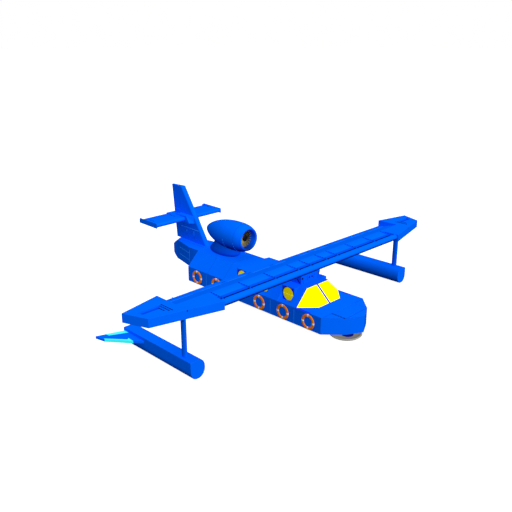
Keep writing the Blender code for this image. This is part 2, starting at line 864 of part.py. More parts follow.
def make_tail_section(blue):
    """Tapered box behind the transom, a blunt tip with cut corners, and a low plinth for the fin."""
    front, fold, neck = STERN_Y + FIT, TAIL_FOLD_Y[0], TAIL_FOLD_Y[1]
    plan = mirrored([(TAIL_HALF, front), (TAIL_HALF, fold), (TAIL_TIP_HALF, neck)])
    tail = prism("tail_section", plan, 0.3, ROOF_Z, "Z", blue)
    under = [(front - 0.1, KEEL_Z - 0.05), (fold, TAIL_KEEL_Z), (neck + 0.1, TAIL_KEEL_Z), (neck + 0.1, 0.1)]
    under += [(front - 0.1, 0.1)]
    cut(tail, prism("tail_underside", under, -1.0, 1.0, "X", helper=True))
    half, inner = TAIL_TIP_HALF, 0.17
    corners = (
        (half, neck - 0.05, ROOF_Z),
        (half, neck, ROOF_Z),
        (0.05, 5.64, ROOF_Z),
        (half, 5.745, 1.575),
        (inner, TAIL_REAR_Y, 1.575),
        (half, 5.745, 1.10),
        (inner, TAIL_REAR_Y, 1.10),
        (half, 5.642, 0.958),
        (half, 5.44, TAIL_KEEL_Z),
        (inner, 5.60, TAIL_KEEL_Z),
        (half, neck - 0.05, TAIL_KEEL_Z),
    )
    points = [(s * x, y, z) for x, y, z in corners for s in (1, -1)]
    tip = solid_of_points("tail_tip", points, helper=True)
    plinth = box("fin_plinth", (-0.27, 3.42, ROOF_Z - 0.05), (0.27, 5.50, FIN_FOOT_Z), helper=True)
    unite(tail, tip, plinth)


def fin_leading_y(z):
    return 3.36 + (z - ROOF_Z) * (5.19 - 3.36) / (FIN_TOP - ROOF_Z)


def fin_trail_y(z):
    return 5.881 + 0.0926 * (z - 1.88)


def fin_ring(z, rear_y, half=FIN_HALF):
    """Level section of the fin: half-round nose, parallel sides, slightly thinner trailing edge."""
    front = fin_leading_y(z)
    nose = [(x, y + front + half) for x, y in arc((0, 0), half, 180, 360, 8)]
    return [(x, y, z) for x, y in nose + [(FIN_TRAIL_HALF, rear_y), (-FIN_TRAIL_HALF, rear_y)]]


RUDDER_SPANS = (("lower", 1.93, 2.74), ("upper", 3.42, 4.24))


def rudder_radius(z):
    """Half of the fin's thickness at the rudder's hinge."""
    front, rear = fin_leading_y(z) + FIN_HALF, fin_trail_y(z)
    return FIN_HALF - (FIN_HALF - FIN_TRAIL_HALF) * (RUDDER_Y - front) / (rear - front)


def rudder_ring(z):
    nose = arc((0.0, RUDDER_Y), rudder_radius(z), 180, 360, 10)
    rear = fin_trail_y(z)
    return [(x, y, z) for x, y in nose + [(FIN_TRAIL_HALF, rear), (-FIN_TRAIL_HALF, rear)]]


def make_fin(blue):
    fin = loft(
        "fin",
        [fin_ring(z, fin_trail_y(z)) for z in (FIN_FOOT_Z + FIT, FIN_TOP)],
        blue,
    )
    for name, low, high in RUDDER_SPANS:
        pocket = box(
            "rudder_pocket_" + name,
            (-0.3, RUDDER_Y, low - RUN),
            (0.3, TAIL_REAR_Y + 0.5, high + RUN),
            helper=True,
        )
        scoop = rod(
            "rudder_scoop_" + name,
            (0.0, RUDDER_Y),
            rudder_radius(high) + RUN,
            low - RUN,
            high + RUN,
            "Z",
            helper=True,
        )
        cut(fin, pocket, scoop)
        rudder = loft("rudder_" + name, [rudder_ring(low), rudder_ring(high)], blue)
        pin = rod(
            "rudder_pin_" + name,
            (0.0, RUDDER_Y),
            PIN_RADIUS,
            low - RUN - PIN_LENGTH,
            high + RUN + PIN_LENGTH,
            "Z",
            helper=True,
        )
        unite(rudder, pin)
    cut(
        fin,
        rod(
            "rudder_pin_holes",
            (0.0, RUDDER_Y),
            PIN_RADIUS + PIN_GAP,
            RUDDER_SPANS[0][1] - RUN - PIN_LENGTH - 0.005,
            RUDDER_SPANS[1][2] + RUN + PIN_LENGTH + 0.005,
            "Z",
            helper=True,
        ),
    )


def make_stabilizer(blue):
    middle = (STAB_Z + STAB_TOP) / 2
    half = (STAB_TOP - STAB_Z) / 2
    nose = arc((STAB_FRONT_Y + half, middle), half, 90, 270, 6)
    section = nose + [(STAB_REAR_Y, STAB_Z + 0.02), (STAB_REAR_Y, STAB_TOP - 0.02)]
    reach = ELEVATOR_OUT + RUN
    stab = prism("stabilizer", section, -STAB_HALF, STAB_HALF, "X", blue)
    for side, s in SIDES:
        span = (s * (ELEVATOR_IN - RUN), s * reach)
        pocket = box(
            "elevator_pocket_" + side,
            (min(span), ELEVATOR_Y, STAB_Z - 0.1),
            (max(span), STAB_REAR_Y + 0.1, STAB_TOP + 0.1),
            helper=True,
        )
        scoop = rod(
            "elevator_scoop_" + side,
            (ELEVATOR_Y, middle),
            ELEVATOR_RADIUS + RUN,
            span[0],
            span[1],
            "X",
            helper=True,
        )
        cut(stab, pocket, scoop)
        outline = arc((ELEVATOR_Y, middle), ELEVATOR_RADIUS, 90, 270, 8)
        outline += [(STAB_REAR_Y, middle - 0.03), (STAB_REAR_Y, middle + 0.03)]
        elevator = prism("elevator_" + side, outline, s * ELEVATOR_IN, s * ELEVATOR_OUT, "X", blue)
        pin = rod(
            "elevator_pin_" + side,
            (ELEVATOR_Y, middle),
            PIN_RADIUS,
            s * (ELEVATOR_IN - RUN - PIN_LENGTH),
            s * (ELEVATOR_OUT + RUN + PIN_LENGTH),
            "X",
            helper=True,
        )
        unite(elevator, pin)
    holes = rod(
        "elevator_pin_holes",
        (ELEVATOR_Y, middle),
        PIN_RADIUS + PIN_GAP,
        -reach - PIN_LENGTH - 0.005,
        reach + PIN_LENGTH + 0.005,
        "X",
        helper=True,
    )
    cut(stab, holes)


def make_junction():
    """The fairing is part of the fin; the stabilizer passes through it in a close slot."""
    fin = bpy.data.objects["fin"]
    corners = (
        (FAIRING_HALF, 4.83, 3.205),
        (FAIRING_HALF, 4.60, 2.862),
        (0.12, 4.52, 3.215),
        (0.12, 4.12, 2.875),
        (FAIRING_HALF, 5.64, 3.205),
        (FAIRING_HALF, 5.64, 2.862),
    )
    points = [(s * x, y, z) for x, y, z in corners for s in (1, -1)]
    fairing = solid_of_points("fin_fairing", points, helper=True)
    slot = box(
        "stabilizer_slot",
        (-1.0, STAB_FRONT_Y - FIT, STAB_Z - FIT),
        (1.0, STAB_REAR_Y + 0.2, STAB_TOP + FIT),
        helper=True,
    )
    return fin, fairing, slot


def build():
    clear_scene()
    blue = material("blue paint", (0.0, 0.13, 0.9), 0.35)
    glass = material("yellow glazing", (0.95, 0.86, 0.02), 0.15)
    orange = material("orange ring", (0.85, 0.25, 0.02), 0.5)
    beige = material("beige skid", (0.55, 0.5, 0.4), 0.6)
    navy = material("navy post", (0.01, 0.01, 0.16), 0.4)
    gold = material("gold blades", (0.3, 0.26, 0.06), 0.35, 0.8)
    steel = material("engine block", (0.25, 0.25, 0.26), 0.5, 0.6)
    make_hull(blue)
    make_foredeck(blue)
    make_windscreen(blue, glass)
    for side, s in SIDES:
        make_cabin_side(side, s, blue, glass)
    make_roof(blue)
    make_life_rings(orange)
    make_wing(blue)
    make_leading_tube(blue)
    make_wing_pylon(blue)
    for side, s in SIDES:
        make_wing_tip(side, s, blue)
        make_float(side, s, blue)
    make_bow_skid(beige, navy)
    make_engine(blue, gold, steel)
    make_tail_section(blue)
    make_fin(blue)
    make_stabilizer(blue)
    fin, fairing, slot = make_junction()
    unite(fin, fairing)
    cut(fin, slot)


build()
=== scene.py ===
"""Looks of the flying boat: paint, glazing, seams, life rings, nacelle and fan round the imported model."""

import json
import math

import bmesh
import bpy
from mathutils import Matrix, Vector


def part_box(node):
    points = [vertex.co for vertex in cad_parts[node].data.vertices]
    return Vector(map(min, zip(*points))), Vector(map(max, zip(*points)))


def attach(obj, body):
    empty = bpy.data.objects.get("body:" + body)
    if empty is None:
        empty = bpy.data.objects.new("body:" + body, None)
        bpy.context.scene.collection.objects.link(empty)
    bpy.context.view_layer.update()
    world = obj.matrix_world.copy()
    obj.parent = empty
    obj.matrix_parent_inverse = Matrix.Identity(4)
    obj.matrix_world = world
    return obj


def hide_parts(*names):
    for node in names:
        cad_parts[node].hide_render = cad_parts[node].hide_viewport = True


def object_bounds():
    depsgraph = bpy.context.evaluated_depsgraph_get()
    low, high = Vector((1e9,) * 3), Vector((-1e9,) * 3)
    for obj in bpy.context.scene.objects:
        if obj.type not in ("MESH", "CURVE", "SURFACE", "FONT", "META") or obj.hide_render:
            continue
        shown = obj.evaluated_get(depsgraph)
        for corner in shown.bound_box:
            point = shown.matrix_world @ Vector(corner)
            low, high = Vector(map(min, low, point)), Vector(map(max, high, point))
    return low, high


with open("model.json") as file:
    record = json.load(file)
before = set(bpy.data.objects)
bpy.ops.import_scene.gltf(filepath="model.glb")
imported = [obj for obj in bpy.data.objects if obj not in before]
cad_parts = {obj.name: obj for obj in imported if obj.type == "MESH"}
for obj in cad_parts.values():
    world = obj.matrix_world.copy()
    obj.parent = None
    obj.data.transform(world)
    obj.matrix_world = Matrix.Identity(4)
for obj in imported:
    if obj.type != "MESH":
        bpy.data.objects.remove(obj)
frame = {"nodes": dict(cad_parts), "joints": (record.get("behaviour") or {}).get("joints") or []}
CAD_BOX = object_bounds()
NODES = frame["nodes"]
SIDES = (("port", 1), ("starboard", -1))
BOTH = (1, -1)
UP = (0, 0, 1)

# Driving places, all taken from the frame
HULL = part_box("hull_shell")
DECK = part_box("foredeck")
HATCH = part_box("bow_hatch")
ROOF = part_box("cabin_roof")
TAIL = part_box("tail_section")
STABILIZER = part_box("stabilizer")
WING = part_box("wing_panel")
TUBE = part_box("leading_edge_tube")
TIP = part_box("wing_tip_port")
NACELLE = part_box("nacelle")
ENGINE_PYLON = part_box("engine_pylon")
HALF_BEAM = HULL[1].x
DECK_TOP = DECK[1].z
ENGINE_Z = (NACELLE[0].z + NACELLE[1].z) / 2


def shade(red, green, blue):
    """A colour of 0 to 255 a channel, as it looks on a screen, in Blender's linear values."""
    linear = [c / 255 / 12.92 if c < 11 else ((c / 255 + 0.055) / 1.055) ** 2.4 for c in (red, green, blue)]
    return (*linear, 1.0)


# Materials

# Colour sockets of a Mix node
MIX_A, MIX_B, MIX_RESULT = 6, 7, 2


def node(tree, kind, **values):
    made = tree.nodes.new(kind)
    for key, value in values.items():
        socket = made.inputs.get(key.replace("_", " "))
        if socket is not None and not hasattr(made, key):
            socket.default_value = value
        else:
            setattr(made, key, value)
    return made


def toward(tree, share, start, end):
    """Takes a linked colour towards a fixed one by a linked share."""
    blend = node(tree, "ShaderNodeMix", data_type="RGBA")
    tree.links.new(share, blend.inputs["Factor"])
    tree.links.new(start, blend.inputs[MIX_A])
    blend.inputs[MIX_B].default_value = end
    return blend.outputs[MIX_RESULT]


def finish(
    name,
    colour,
    rough=0.4,
    metal=0.0,
    coat=0.0,
    gleam=0.3,
    mottle=0.05,
    grain=60.0,
    bump=0.15,
    glow=0.0,
    edge=0.0,
    painted_shade_below=None,
):
    """A surface with cloudy colour, uneven gloss, fine grain, painted highlights on its edges and painted
    shade below a level.
    """
    mat = bpy.data.materials.new(name)
    mat.use_nodes = True
    tree = mat.node_tree
    shader = tree.nodes["Principled BSDF"]
    shader.inputs["Metallic"].default_value = metal
    shader.inputs["Specular IOR Level"].default_value = gleam
    shader.inputs["Coat Weight"].default_value = coat
    shader.inputs["Coat Roughness"].default_value = 0.18
    shader.inputs["Emission Color"].default_value = colour
    shader.inputs["Emission Strength"].default_value = glow
    place = node(tree, "ShaderNodeTexCoord").outputs["Object"]
    clouds = node(tree, "ShaderNodeTexNoise", Scale=1.3, Detail=5.0, Roughness=0.6)
    fine = node(tree, "ShaderNodeTexNoise", Scale=grain, Detail=3.0, Roughness=0.55)
    for noise in (clouds, fine):
        tree.links.new(place, noise.inputs["Vector"])
    tones = {"To_Min": 1 - mottle, "To_Max": 1 + mottle}
    tone = node(tree, "ShaderNodeMapRange", From_Min=0.3, From_Max=0.7, **tones)
    tree.links.new(clouds.outputs["Fac"], tone.inputs["Value"])
    base = node(tree, "ShaderNodeVectorMath", operation="SCALE")
    base.inputs[0].default_value = colour[:3]
    tree.links.new(tone.outputs["Result"], base.inputs["Scale"])
    result = base.outputs["Vector"]
    soft = node(tree, "ShaderNodeBevel", samples=4, Radius=0.012)
    # Painted highlight: at edges, where the rounded normal turns from the flat one, the colour is
    # lightened.
    if edge:
        flat = node(tree, "ShaderNodeNewGeometry")
        facing = node(tree, "ShaderNodeVectorMath", operation="DOT_PRODUCT")
        tree.links.new(soft.outputs["Normal"], facing.inputs[0])
        tree.links.new(flat.outputs["Normal"], facing.inputs[1])
        edge_highlight = node(tree, "ShaderNodeMapRange", From_Min=0.999, From_Max=0.92, To_Min=0.0, To_Max=edge)
        tree.links.new(facing.outputs["Value"], edge_highlight.inputs["Value"])
        highlight_colour = [min(1.0, c * 1.15 + 0.10) for c in colour[:3]] + [1.0]
        result = toward(tree, edge_highlight.outputs["Result"], result, highlight_colour)
    # Painted shade: the colour darkens from a level downwards.
    if painted_shade_below:
        level, depth, dark = painted_shade_below
        height = node(tree, "ShaderNodeSeparateXYZ")
        tree.links.new(place, height.inputs["Vector"])
        below = node(tree, "ShaderNodeMapRange", interpolation_type="SMOOTHSTEP")
        below.inputs["From Min"].default_value = level
        below.inputs["From Max"].default_value = level - depth
        tree.links.new(height.outputs["Z"], below.inputs["Value"])
        result = toward(tree, below.outputs["Result"], result, dark)
    tree.links.new(result, shader.inputs["Base Color"])
    gloss = node(tree, "ShaderNodeMapRange", To_Min=rough * 0.85, To_Max=rough * 1.15)
    tree.links.new(fine.outputs["Fac"], gloss.inputs["Value"])
    tree.links.new(gloss.outputs["Result"], shader.inputs["Roughness"])
    relief = node(tree, "ShaderNodeBump", Strength=bump, Distance=0.002)
    tree.links.new(fine.outputs["Fac"], relief.inputs["Height"])
    tree.links.new(soft.outputs["Normal"], relief.inputs["Normal"])
    tree.links.new(relief.outputs["Normal"], shader.inputs["Normal"])
    return mat


# Level, depth and darkest colour of the painted shade that darkens the engine's paints downwards
BELLY = (ENGINE_Z - 0.10, 0.50, shade(8, 34, 112))
FOOT = (ENGINE_PYLON[1].z, 0.75, shade(0, 72, 205))

BLUE = finish("blue paint", shade(0, 102, 255), rough=0.5, gleam=0.0, mottle=0.02, edge=0.10)
# Nacelle paint is the blue paint with painted shade on its lower part. Pylon paint is a darker, shaded copy
# of the blue paint, with more painted shade lower down.
NACELLE_BLUE = finish("nacelle paint", shade(0, 102, 255), rough=0.5, gleam=0.0, mottle=0.02, painted_shade_below=BELLY)
PYLON_SHADED_BLUE = finish("shaded pylon paint", shade(0, 70, 190), rough=0.5, gleam=0.0, mottle=0.02, painted_shade_below=FOOT)
BLUE_SHADE = finish("shaded blue", shade(0, 76, 215), rough=0.5, gleam=0.0, mottle=0.03)
# Painted highlight: a light blue that glows a little, drawn as lines along seams, slots and hinges.
BLUE_HIGHLIGHT = finish("painted highlight seam", shade(45, 140, 255), gleam=0.0, mottle=0.03, glow=0.12)
# Dark blue for gaps and dark marks. It is also painted shade behind and under the tube and round the
# pylon's foot.
BLUE_DARK = finish("dark blue gaps and painted shade", shade(0, 14, 84), rough=0.6, gleam=0.0, mottle=0.1)
# Violet blue for the windscreen's trim. It is also painted shade at the deck's edges and round the porthole
# panes.
VIOLET = finish("violet blue trim and painted shade", shade(26, 34, 255), rough=0.5, gleam=0.0, mottle=0.03)
CYAN = finish("cyan stripe", shade(60, 255, 255), gleam=0.2, mottle=0.03)
YELLOW, AMBER, PALE_YELLOW = shade(255, 252, 0), shade(255, 234, 0), shade(255, 245, 60)
# The glazing glows a little though it is no lamp: painted light that keeps it bright. The glints are
# painted highlights that glow too.
SCREEN = finish("windscreen glazing", YELLOW, rough=0.3, gleam=0.0, mottle=0.01, bump=0.02, glow=0.35)
PORTHOLE = finish("porthole glazing", AMBER, rough=0.3, gleam=0.0, mottle=0.03, bump=0.03, glow=0.14)
GLINT = finish("porthole glint", PALE_YELLOW, rough=0.2, coat=0.3, mottle=0.03, glow=0.3)
RING_ORANGE = shade(246, 132, 0)
ORANGE = finish("life ring orange", RING_ORANGE, rough=0.6, gleam=0.0, mottle=0.06, grain=90, bump=0.3)
WHITE = finish("white band", shade(240, 240, 235), rough=0.6, gleam=0.2, mottle=0.03, grain=400, bump=0.4)
CANVAS = shade(164, 160, 149)
BEIGE = finish("beige skid", CANVAS, rough=0.7, gleam=0.1, mottle=0.08, grain=35, bump=0.5, edge=0.4)
NAVY = finish("navy post", shade(0, 0, 125), rough=0.5, gleam=0.1, mottle=0.06, edge=0.2)
BRASS = shade(134, 122, 72)
GOLD = finish(
    "fan blades", BRASS, rough=0.45, metal=0.15, gleam=0.1, mottle=0.12, grain=120, bump=0.25, edge=0.4
)
SPINNER = finish("spinner", shade(14, 13, 12), rough=0.5, gleam=0.1, mottle=0.1)
DUCT = finish("duct lining", shade(20, 16, 6), rough=0.6, gleam=0.1, mottle=0.12, grain=50, bump=0.3)
STEEL = finish("dark steel", shade(70, 70, 74), rough=0.45, metal=0.7, mottle=0.12, bump=0.4, edge=0.4)


# Carried-over CAD nodes

JOIN_DISTANCE, EDGE_WIDTH = 0.00005, 0.006
FLAT_ANGLE, EDGE_ANGLE, SMOOTH_ANGLE = 0.3, 32, 28


def node_group(name):
    tree = bpy.data.node_groups.new(name, "GeometryNodeTree")
    tree.interface.new_socket("Geometry", in_out="INPUT", socket_type="NodeSocketGeometry")
    tree.interface.new_socket("Geometry", in_out="OUTPUT", socket_type="NodeSocketGeometry")
    return tree, tree.nodes.new("NodeGroupInput"), tree.nodes.new("NodeGroupOutput")


def chain(tree, *steps):
    for a, b in zip(steps, steps[1:]):
        given = next(s for s in a.outputs if s.type == "GEOMETRY")
        taken = next(s for s in b.inputs if s.type == "GEOMETRY")
        tree.links.new(given, taken)


def joined_faces():
    """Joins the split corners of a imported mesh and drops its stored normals."""
    tree, start, end = node_group("joined faces")
    drop = tree.nodes.new("GeometryNodeRemoveAttribute")
    drop.inputs["Name"].default_value = "custom_normal"
    merge = tree.nodes.new("GeometryNodeMergeByDistance")
    merge.inputs["Distance"].default_value = JOIN_DISTANCE
    chain(tree, start, drop, merge, end)
    return tree


def smooth_below(degrees):
    """Smooth faces, with sharp edges where two faces meet at more than an angle."""
    tree, start, end = node_group(f"smooth below {degrees}")
    smooth = tree.nodes.new("GeometryNodeSetShadeSmooth")
    smooth.domain = "FACE"
    sharp = tree.nodes.new("GeometryNodeSetShadeSmooth")
    sharp.domain = "EDGE"
    sharp.inputs["Shade Smooth"].default_value = False
    angle = tree.nodes.new("GeometryNodeInputMeshEdgeAngle")
    wide = tree.nodes.new("FunctionNodeCompare")
    wide.operation = "GREATER_THAN"
    wide.inputs[1].default_value = math.radians(degrees)
    tree.links.new(angle.outputs["Unsigned Angle"], wide.inputs[0])
    tree.links.new(wide.outputs["Result"], sharp.inputs["Selection"])
    chain(tree, start, smooth, sharp, end)
    return tree


JOINED = joined_faces()
SMOOTH = smooth_below(SMOOTH_ANGLE)


def dress(name, mat):
    """Gives a CAD node its finish, small rounded edges and smooth curved faces."""
    obj = NODES[name]
    obj.data.materials.clear()
    obj.data.materials.append(mat)
    obj.modifiers.new("Join", "NODES").node_group = JOINED
    flat = obj.modifiers.new("Flat faces", "DECIMATE")
    flat.decimate_type = "DISSOLVE"
    flat.angle_limit = math.radians(FLAT_ANGLE)
    bevel = obj.modifiers.new("Edges", "BEVEL")
    bevel.width = EDGE_WIDTH
    bevel.segments = 2
    bevel.limit_method = "ANGLE"
    bevel.angle_limit = math.radians(EDGE_ANGLE)
    obj.modifiers.new("Smooth", "NODES").node_group = SMOOTH
    even = obj.modifiers.new("Flat shading", "WEIGHTED_NORMAL")
    even.keep_sharp = True


# Building pieces


def place(name, bm, mats, body="airframe", replaces=(), smooth=SMOOTH_ANGLE):
    """Makes a bmesh a piece of the object that rides on a body."""
    bmesh.ops.recalc_face_normals(bm, faces=bm.faces)
    mesh = bpy.data.meshes.new(name)
    bm.to_mesh(mesh)
    bm.free()
    obj = bpy.data.objects.new(name, mesh)
    bpy.context.scene.collection.objects.link(obj)
    mats = mats if isinstance(mats, (list, tuple)) else [mats]
    for mat in mats:
        mesh.materials.append(mat)
    mesh.shade_smooth()
    mesh.set_sharp_from_angle(angle=math.radians(smooth))
    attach(obj, body)
    if replaces:
        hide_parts(*replaces)
    return obj


def rings_to_faces(bm, rows, closed=True, cap=True, index=0):
    """Joins rows of vertices; each row is a closed ring."""
    verts = [[bm.verts.new(point) for point in row] for row in rows]
    count = len(verts[0])
    pairs = list(zip(verts, verts[1:])) + ([(verts[-1], verts[0])] if closed else [])
    for a, b in pairs:
        for i in range(count):
            face = bm.faces.new((a[i], a[(i + 1) % count], b[(i + 1) % count], b[i]))
            face.material_index = index
    if cap and not closed:
        for row in (verts[0][::-1], verts[-1]):
            bm.faces.new(row).material_index = index


def level_oval(half_x, half_y, y, z, count):
    """A level ring of points round the middle of the object."""
    turns = [math.tau * i / count for i in range(count)]
    return [(half_x * math.cos(a), y + half_y * math.sin(a), z) for a in turns]


def side_circle(x, y, z, radius, count):
    """An upright ring of points that faces sideways."""
    turns = [math.tau * i / count for i in range(count)]
    return [(x, y + radius * math.cos(a), z + radius * math.sin(a)) for a in turns]


def plate(bm, outline, low, high):
    """A flat plate with an outline in plan."""
    bottom = [bm.verts.new((x, y, low)) for x, y in outline]
    top = [bm.verts.new((x, y, high)) for x, y in outline]
    bm.faces.new(top)
    bm.faces.new(bottom[::-1])
    count = len(outline)
    for i in range(count):
        j = (i + 1) % count
        bm.faces.new((bottom[i], bottom[j], top[j], top[i]))


def lathe(bm, profile, centre, sides):
    """Turns a closed profile of (radius, y, material index) about a fore-and-aft axis."""
    turns = [math.tau * i / sides for i in range(sides)]
    rows = []
    for radius, y, _ in profile:
        points = [(radius * math.cos(a), y, radius * math.sin(a)) for a in turns]
        rows.append([bm.verts.new(Vector(centre) + Vector(point)) for point in points])
    count = len(rows)
    for j in range(count):
        a, b = rows[j], rows[(j + 1) % count]
        for i in range(sides):
            face = bm.faces.new((a[i], a[(i + 1) % sides], b[(i + 1) % sides], b[i]))
            face.material_index = profile[j][2]


def add_bar(bm, start, end, normal, width, height):
    """A low bar with sloping flanks along a line on a surface."""
    start, end, normal = Vector(start), Vector(end), Vector(normal).normalized()
    along = (end - start).normalized()
    across = along.cross(normal).normalized()
    # Shares of the width and the height, round the bar's section
    section = ((-0.5, -0.15), (-0.5, 0.35), (-0.30, 1.0), (0.30, 1.0), (0.5, 0.35), (0.5, -0.15))
    shoulder = 0.35
    taper = along * width * 0.2
    rows = []
    for point, high in ((start, shoulder), (start + taper, 1.0), (end - taper, 1.0), (end, shoulder)):
        rows.append([point + across * width * u + normal * height * min(v, high) for u, v in section])
    rings_to_faces(bm, rows, closed=False)


def bars(name, mat, runs, width, height, body="airframe"):
    """Many bars in one piece; each run is start, end and the surface's normal."""
    bm = bmesh.new()
    for start, end, normal in runs:
        add_bar(bm, start, end, normal, width, height)
    return place(name, bm, mat, body)


def level_run(start, end, z):
    """A bar's run on a level surface, between two points in plan."""
    return ((*start, z), (*end, z), UP)


def dashes(first, last, count, on, off):
    """Both ends of each dash along a stretch; on and off are shares of one dash's pitch."""
    return [[first + (last - first) * (i + share) / count for share in (on, off)] for i in range(count)]


# Life rings

RING_RADIUS = 0.064
BAND_ANGLE = math.radians(9.5)


def life_rings():
    """Soft ring with four white bands, in the place of each plain ring."""
    steps, sides = 96, 20
    quarter = math.pi / 2
    for side, _ in SIDES:
        for index in range(1, 7):
            name = f"life_ring_{side}_{index}"
            low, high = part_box(name)
            centre = (low + high) / 2
            middle = (high.z - low.z) / 2 * 0.99 - RING_RADIUS
            depth = (high.x - low.x) / 2 * 0.80
            bm = bmesh.new()
            rows = []
            for i in range(steps):
                turn = math.tau * i / steps
                banded = abs((turn + quarter / 2) % quarter - quarter / 2) < BAND_ANGLE
                fat = 1.05 if banded else 1.0
                row = []
                for j in range(sides):
                    angle = math.tau * j / sides
                    across = depth * fat * math.copysign(abs(math.cos(angle)) ** 0.8, math.cos(angle))
                    away = middle + RING_RADIUS * fat * 0.95 * math.sin(angle)
                    y, z = centre.y + away * math.sin(turn), centre.z + away * math.cos(turn)
                    row.append(bm.verts.new((centre.x + across, y, z)))
                rows.append((row, banded))
            for i in range(steps):
                (a, a_banded), (b, b_banded) = rows[i], rows[(i + 1) % steps]
                for j in range(sides):
                    face = bm.faces.new((a[j], a[(j + 1) % sides], b[(j + 1) % sides], b[j]))
                    face.material_index = int(a_banded and b_banded)
            place(f"{name}_soft", bm, (ORANGE, WHITE), replaces=(name,), smooth=60)


# Hull

SIDE_SEAM_Y = (1.97, 0.765, -2.303, -3.682)
CABIN_SEAM_Y = (1.9, 0.77)
EDGE_GAP = 0.02
HATCH_SEAM_Y = -5.19
HATCH_FRONT_SEAM = ((-HATCH[1].x, -5.91), (0.9, -5.87))
HATCH_DASHES_Y = (-5.17, -5.89)
# y of the ends of the painted shade along the deck's edges
DECK_SHADE_Y = (-3.83, -4.55)

# Corner on the rail, foot on the deck and head on the roof of the port pane
SCREEN_POINTS = ((1.42, -3.79, 1.16), (0.71, -4.46, 1.16), (0.70, -3.73, 1.83))


def hull_seams():
    """Seams down the hull's sides and over the cabin's slopes and roof."""
    low, high = HULL[0].z + 0.07, HULL[1].z - 0.03
    roof_half, roof_top = ROOF[1].x, ROOF[1].z
    sides, slopes = [], []
    for s in BOTH:
        beam = s * HALF_BEAM
        sides += [((beam, y, low), (beam, y, high), (s, 0, 0)) for y in SIDE_SEAM_Y]
        for y in CABIN_SEAM_Y:
            foot = (s * (HALF_BEAM - EDGE_GAP), y, DECK_TOP + EDGE_GAP)
            head = (s * (roof_half + EDGE_GAP), y, roof_top - EDGE_GAP)
            slopes.append((foot, head, (s, 0, 1)))
    roof_y, end = CABIN_SEAM_Y[1], roof_half - EDGE_GAP
    slopes.append(level_run((-end, roof_y), (end, roof_y), roof_top))
    # The side seams are lines of painted highlight.
    bars("hull_side_seams", BLUE_HIGHLIGHT, sides, width=0.016, height=0.004)
    bars("cabin_seams", BLUE_SHADE, slopes, width=0.009, height=0.0015)


def deck_seams():
    """Seams and dashes round the bow hatch, and bands of painted shade on the deck's edges beside the
    windscreen.
    """
    half = HATCH[1].x
    seams = [level_run((s * (half + 0.05), HATCH_SEAM_Y), (s * 1.35, HATCH_SEAM_Y), DECK_TOP) for s in BOTH]
    seams.append(level_run(*HATCH_FRONT_SEAM, DECK_TOP))
    bars("deck_seams", BLUE_SHADE, seams, width=0.02, height=0.003)
    x = -half - 0.03
    marks = [level_run((x, a), (x, b), DECK_TOP) for a, b in dashes(*HATCH_DASHES_Y, 5, on=0.05, off=0.85)]
    bars("hatch_dashes", BLUE_DARK, marks, width=0.05, height=0.003)
    # Bands of painted shade along the deck's edges, at the windscreen's feet.
    shade_runs = []
    for s in BOTH:
        x = s * (HALF_BEAM - 0.045)
        shade_runs.append(level_run((x, DECK_SHADE_Y[0]), (x, DECK_SHADE_Y[1]), DECK_TOP))
    bars("deck_edge_shades", VIOLET, shade_runs, width=0.07, height=0.003)


def windscreen_trim():
    """Blue mullion and thin borders along the edges of the two folded panes."""
    _, foot_middle, head_middle = (Vector((0, y, z)) for _, y, z in SCREEN_POINTS)
    rise = head_middle - foot_middle
    front = Vector((0, -rise.z, rise.y)).normalized()
    inset = Vector((0, 0.005, 0.005))
    mullion = [(foot_middle + inset, head_middle - inset, front)]
    bars("windscreen_mullion", VIOLET, mullion, width=0.088, height=0.006)
    borders = []
    for s in BOTH:
        corner, foot, head = (Vector((s * x, y, z)) for x, y, z in SCREEN_POINTS)
        flank = (foot - corner).cross(head - corner).normalized() * -s
        borders += [(corner, head, flank), (corner, foot, flank)]
        borders += [(head, head_middle, front), (foot, foot_middle, front)]
    bars("windscreen_borders", VIOLET, borders, width=0.034, height=0.004)


def bow_skid():
    """Hollow dish with a rolled rim, and the post that stands in it."""
    count, pole = 96, 0.002
    low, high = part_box("bow_skid_dish")
    middle_y = (low.y + high.y) / 2
    # Share of the rim's radius and height above the foot: up the outside, then down the inside
    outside = ((0.70, 0.0), (0.93, 0.03), (1.0, 0.075), (0.985, 0.10), (0.955, 0.112))
    inside = ((0.92, 0.112), (0.885, 0.10), (0.70, 0.05))
    profile = [(pole, 0.012)]
    profile += [(high.x * share, rise) for share, rise in outside + inside]
    profile.append((pole, 0.036))
    bm = bmesh.new()
    rings_to_faces(bm, [level_oval(r, r, middle_y, low.z + rise, count) for r, rise in profile])
    place("bow_skid_dish_hollow", bm, BEIGE, replaces=("bow_skid_dish",), smooth=40)
    low_post, high_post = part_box("bow_skid_post")
    post_y = (low_post.y + high_post.y) / 2 - 0.04
    # Radius and height above the ground
    levels = ((0.255, 0.03), (0.255, 0.12), (0.235, 0.16), (0.22, high_post.z - low.z))
    bm = bmesh.new()
    rings_to_faces(bm, [level_oval(r, r, post_y, low.z + rise, count) for r, rise in levels], closed=False)
    place("bow_skid_post_flared", bm, NAVY, replaces=("bow_skid_post",), smooth=40)


# Tail

# The fin's half width at one station, and its change with y and z
FIN_HALF, FIN_Y, FIN_Z = 0.1173, 4.40, 2.3
FIN_SLOPE_Y, FIN_SLOPE_Z = -0.0381, 0.0245

# The tail's sides run straight from its full width to this half width and y
TAIL_FRONT_Y = 4.03
TAIL_REAR_HALF, TAIL_REAR_Y = 0.413, 5.371


def on_fin(s, y, z):
    """A point on the fin's tapering side."""
    return (s * (FIN_HALF + FIN_SLOPE_Y * (y - FIN_Y) + FIN_SLOPE_Z * (z - FIN_Z)), y, z)


